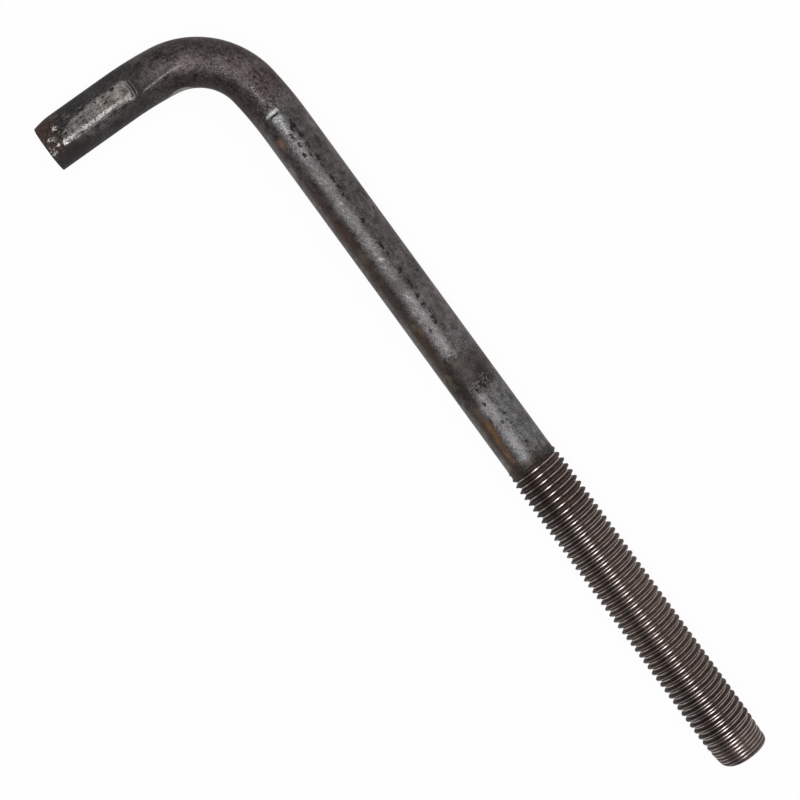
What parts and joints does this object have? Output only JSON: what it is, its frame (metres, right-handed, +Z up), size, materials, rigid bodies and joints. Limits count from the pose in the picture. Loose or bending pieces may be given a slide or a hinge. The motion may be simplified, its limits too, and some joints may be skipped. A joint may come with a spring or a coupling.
{
  "type": "l-bolt anchor",
  "caption": "L-shaped anchor bolt of plain steel: its hooked end is cast into concrete, and a nut on the threaded end holds down a base plate.",
  "frame": {"origin": "centre of the bounding box's underside, with the bolt lying flat", "axes": "+X along the shank towards the threaded tip, the hook points along -Y, +Z up and square to the plane of the L"},
  "size_m": [0.362, 0.0917, 0.0221],
  "materials": {
    "plain_steel": "plain black steel: mill scale with light rust, oily dark thread"
  },
  "bodies": {
    "root": {"anchor_bolt": "plain_steel"}
  },
  "joints": []
}
